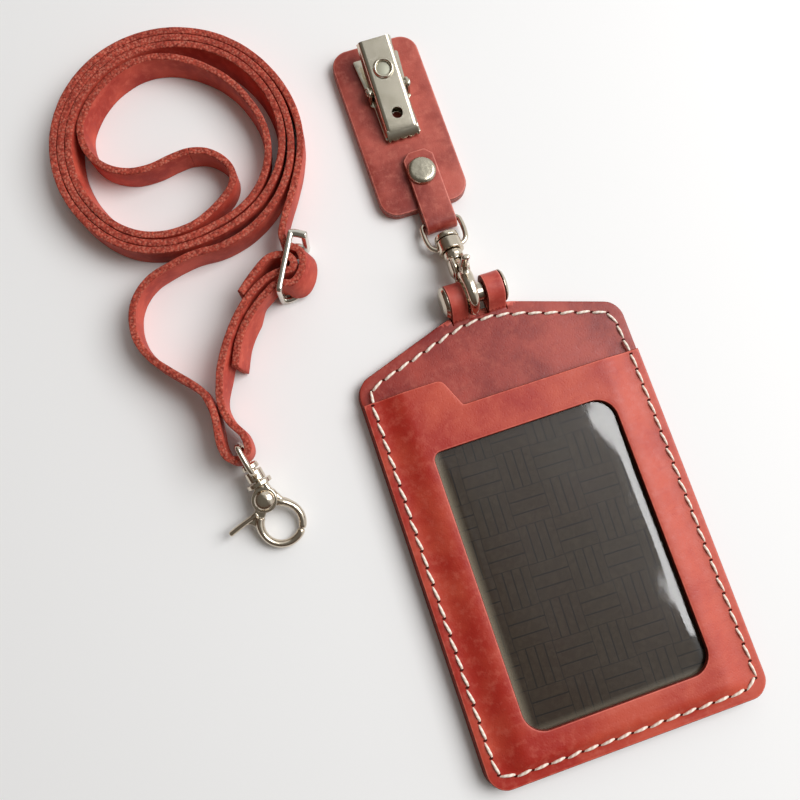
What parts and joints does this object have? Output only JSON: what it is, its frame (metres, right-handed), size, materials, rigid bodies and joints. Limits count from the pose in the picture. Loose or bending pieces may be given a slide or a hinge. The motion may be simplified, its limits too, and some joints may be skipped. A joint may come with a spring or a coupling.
{
  "type": "leather id card holder",
  "caption": "Vertical stitched leather card holder with a clear window, hung from a screw post by a trigger clasp and a leather badge-clip pad, beside a coiled leather neck strap.",
  "frame": {"origin": "middle of the holder's flat back face, which lies on the table", "axes": "+X to the holder's right, +Y to its hanging end, +Z out of its front"},
  "size_m": [0.1282, 0.2101, 0.0175],
  "materials": {
    "leather": "waxed red-brown leather with a soft sheen, slightly mottled",
    "leather_dark": "darker waxed leather of the panel behind the pocket",
    "leather_strap": "smooth strap leather with raw fibrous cut edges",
    "nickel": "polished warm nickel plating",
    "brushed": "nickel-plated sheet steel, lightly brushed",
    "card": "dark printed card with a basket-weave pattern",
    "film": "clear glossy film"
  },
  "bodies": {
    "holder": {"back_panel": "leather", "middle_panel": "leather_dark", "front_panel": "leather", "window_film": "film", "loop_post": "nickel", "loop_screw": "nickel"},
    "card": {"id_card": "card"},
    "hook": {"hook_body": "nickel", "hook_rivet": "nickel", "hook_spring": "nickel", "hook_post": "nickel"},
    "hook_trigger": {"hook_gate": "nickel"},
    "hook_loop": {"hook_eye": "nickel"},
    "pad": {"pad_back": "leather", "pad_front": "leather", "tab_rivet": "nickel", "clip_rivet": "brushed"},
    "clip": {"clip_base": "brushed", "clip_pin": "brushed", "clip_spring": "brushed"},
    "clip_jaw": {"clip_lever": "brushed"},
    "lanyard": {"lanyard_strap": "leather_strap", "slider_frame": "nickel"},
    "clasp_loop": {"clasp_eye": "nickel"},
    "clasp": {"clasp_body": "nickel", "clasp_rivet": "nickel", "clasp_spring": "nickel", "clasp_post": "nickel"},
    "clasp_trigger": {"clasp_gate": "nickel"}
  },
  "joints": [
    {"name": "card_slide", "type": "slide", "parent": "holder", "child": "card", "axis": [0, 1, 0], "range_m": [0, 0.014]},
    {"name": "hook_swing", "type": "hinge", "parent": "holder", "child": "hook", "pos_m": [-0.0012, 0.0603, 0.00605], "axis": [1, 0, 0], "range_deg": [-20, 70]},
    {"name": "hook_gate_open", "type": "hinge", "parent": "hook", "child": "hook_trigger", "pos_m": [-0.0012, 0.06753, 0.00562], "axis": [-1, 0, 0], "range_deg": [0, 28], "stiffness_Nm_per_rad": 0.004, "springref_deg": -28.65},
    {"name": "hook_swivel", "type": "hinge", "parent": "hook", "child": "hook_loop", "pos_m": [-0.0012, 0.0736, 0.00376], "axis": [0, 0.9855, -0.1697], "continuous": true},
    {"name": "pad_swing", "type": "hinge", "parent": "hook_loop", "child": "pad", "pos_m": [-0.0012, 0.08178, 0.00235], "axis": [1, 0, 0], "range_deg": [-60, 60]},
    {"name": "clip_turn", "type": "hinge", "parent": "pad", "child": "clip", "pos_m": [-0.0028, 0.1244, 0.003], "axis": [0, 0, 1], "range_deg": [-90, 90]},
    {"name": "clip_open", "type": "hinge", "parent": "clip", "child": "clip_jaw", "pos_m": [-0.0028, 0.12, 0.0058], "axis": [-1, 0, 0], "range_deg": [0, 18], "stiffness_Nm_per_rad": 0.02, "springref_deg": -28.65, "deforming": ["clip_spring"]},
    {"name": "lanyard_lift", "type": "slide", "parent": "holder", "child": "lanyard", "axis": [0, 0, 1], "range_m": [0, 0.15]},
    {"name": "clasp_swing", "type": "hinge", "parent": "lanyard", "child": "clasp_loop", "pos_m": [-0.06777, 0.04094, 0.00683], "axis": [0, 0, 1], "range_deg": [-12, 12]},
    {"name": "clasp_swivel", "type": "hinge", "parent": "clasp_loop", "child": "clasp", "pos_m": [-0.06622, 0.03297, 0.00513], "axis": [-0.1867, 0.9607, 0.2052], "continuous": true},
    {"name": "clasp_gate_open", "type": "hinge", "parent": "clasp", "child": "clasp_trigger", "pos_m": [-0.06583, 0.02677, 0.00384], "axis": [-0.0392, 0.2014, -0.9787], "range_deg": [0, 28], "stiffness_Nm_per_rad": 0.004, "springref_deg": -28.65}
  ]
}
